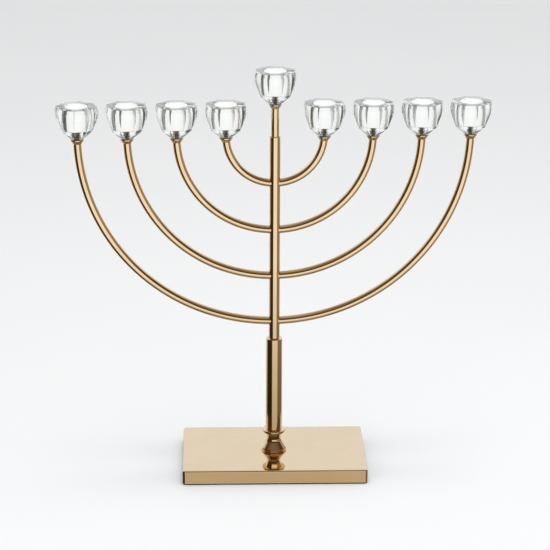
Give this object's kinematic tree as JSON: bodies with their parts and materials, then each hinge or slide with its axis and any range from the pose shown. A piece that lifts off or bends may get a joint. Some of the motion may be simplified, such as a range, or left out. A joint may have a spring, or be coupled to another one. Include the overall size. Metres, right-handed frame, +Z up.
{
  "type": "menorah",
  "caption": "Gold-plated tube candelabrum: nested half-circle arms and a raised stem in one column, octagonal crystal candle cups, and a weighted rectangular base.",
  "frame": {"origin": "middle of the underside of the base pad, on the table and on the column's axis", "axes": "+X along the arms, +Y away from the viewer, +Z up the column"},
  "size_m": [0.4443, 0.124, 0.4291],
  "materials": {
    "gold_plate": "mirror-polished pale gold plate on brass tube and on the pressed base cover",
    "crystal": "clear polished optical crystal with flat-cut facets",
    "steel": "zinc-plated threaded rod, nut, washer, plug and screws",
    "weight_iron": "blackened slab hidden in the base",
    "silicone": "translucent grey silicone bushes between crystal and metal",
    "felt": "black felt glued under the base"
  },
  "bodies": {
    "base": {"base_cover": "gold_plate", "base_weight": "weight_iron", "base_pad": "felt"},
    "candelabrum": {"foot_bell": "gold_plate", "foot_ring": "gold_plate", "column_sleeve": "gold_plate", "column": "gold_plate", "shamash_stem": "gold_plate", "arm_1": "gold_plate", "arm_2": "gold_plate", "arm_3": "gold_plate", "arm_4": "gold_plate", "base_washer": "steel", "base_nut": "steel", "tie_rod": "steel", "column_plug": "steel", "dish_1": "gold_plate", "cup_grommet_1": "silicone", "cup_screw_1": "steel", "dish_2": "gold_plate", "cup_grommet_2": "silicone", "cup_screw_2": "steel", "dish_3": "gold_plate", "cup_grommet_3": "silicone", "cup_screw_3": "steel", "dish_4": "gold_plate", "cup_grommet_4": "silicone", "cup_screw_4": "steel", "dish_5": "gold_plate", "cup_grommet_5": "silicone", "cup_screw_5": "steel", "dish_6": "gold_plate", "cup_grommet_6": "silicone", "cup_screw_6": "steel", "dish_7": "gold_plate", "cup_grommet_7": "silicone", "cup_screw_7": "steel", "dish_8": "gold_plate", "cup_grommet_8": "silicone", "cup_screw_8": "steel", "dish_9": "gold_plate", "cup_grommet_9": "silicone", "cup_screw_9": "steel"},
    "cup_1": {"crystal_cup_1": "crystal"},
    "cup_2": {"crystal_cup_2": "crystal"},
    "cup_3": {"crystal_cup_3": "crystal"},
    "cup_4": {"crystal_cup_4": "crystal"},
    "cup_5": {"crystal_cup_5": "crystal"},
    "cup_6": {"crystal_cup_6": "crystal"},
    "cup_7": {"crystal_cup_7": "crystal"},
    "cup_8": {"crystal_cup_8": "crystal"},
    "cup_9": {"crystal_cup_9": "crystal"}
  },
  "joints": [
    {"name": "stem_turn", "type": "hinge", "parent": "base", "child": "candelabrum", "pos_m": [0, 0, 0.0156], "axis": [0, 0, 1], "continuous": true},
    {"name": "cup_1_turn", "type": "hinge", "parent": "candelabrum", "child": "cup_1", "pos_m": [-0.2, 0, 0.3611], "axis": [0, 0, 1], "continuous": true},
    {"name": "cup_2_turn", "type": "hinge", "parent": "candelabrum", "child": "cup_2", "pos_m": [-0.15, 0, 0.3611], "axis": [0, 0, 1], "continuous": true},
    {"name": "cup_3_turn", "type": "hinge", "parent": "candelabrum", "child": "cup_3", "pos_m": [-0.1, 0, 0.3611], "axis": [0, 0, 1], "continuous": true},
    {"name": "cup_4_turn", "type": "hinge", "parent": "candelabrum", "child": "cup_4", "pos_m": [-0.05, 0, 0.3611], "axis": [0, 0, 1], "continuous": true},
    {"name": "cup_5_turn", "type": "hinge", "parent": "candelabrum", "child": "cup_5", "pos_m": [0, 0, 0.3951], "axis": [0, 0, 1], "continuous": true},
    {"name": "cup_6_turn", "type": "hinge", "parent": "candelabrum", "child": "cup_6", "pos_m": [0.05, 0, 0.3611], "axis": [0, 0, 1], "continuous": true},
    {"name": "cup_7_turn", "type": "hinge", "parent": "candelabrum", "child": "cup_7", "pos_m": [0.1, 0, 0.3611], "axis": [0, 0, 1], "continuous": true},
    {"name": "cup_8_turn", "type": "hinge", "parent": "candelabrum", "child": "cup_8", "pos_m": [0.15, 0, 0.3611], "axis": [0, 0, 1], "continuous": true},
    {"name": "cup_9_turn", "type": "hinge", "parent": "candelabrum", "child": "cup_9", "pos_m": [0.2, 0, 0.3611], "axis": [0, 0, 1], "continuous": true}
  ]
}
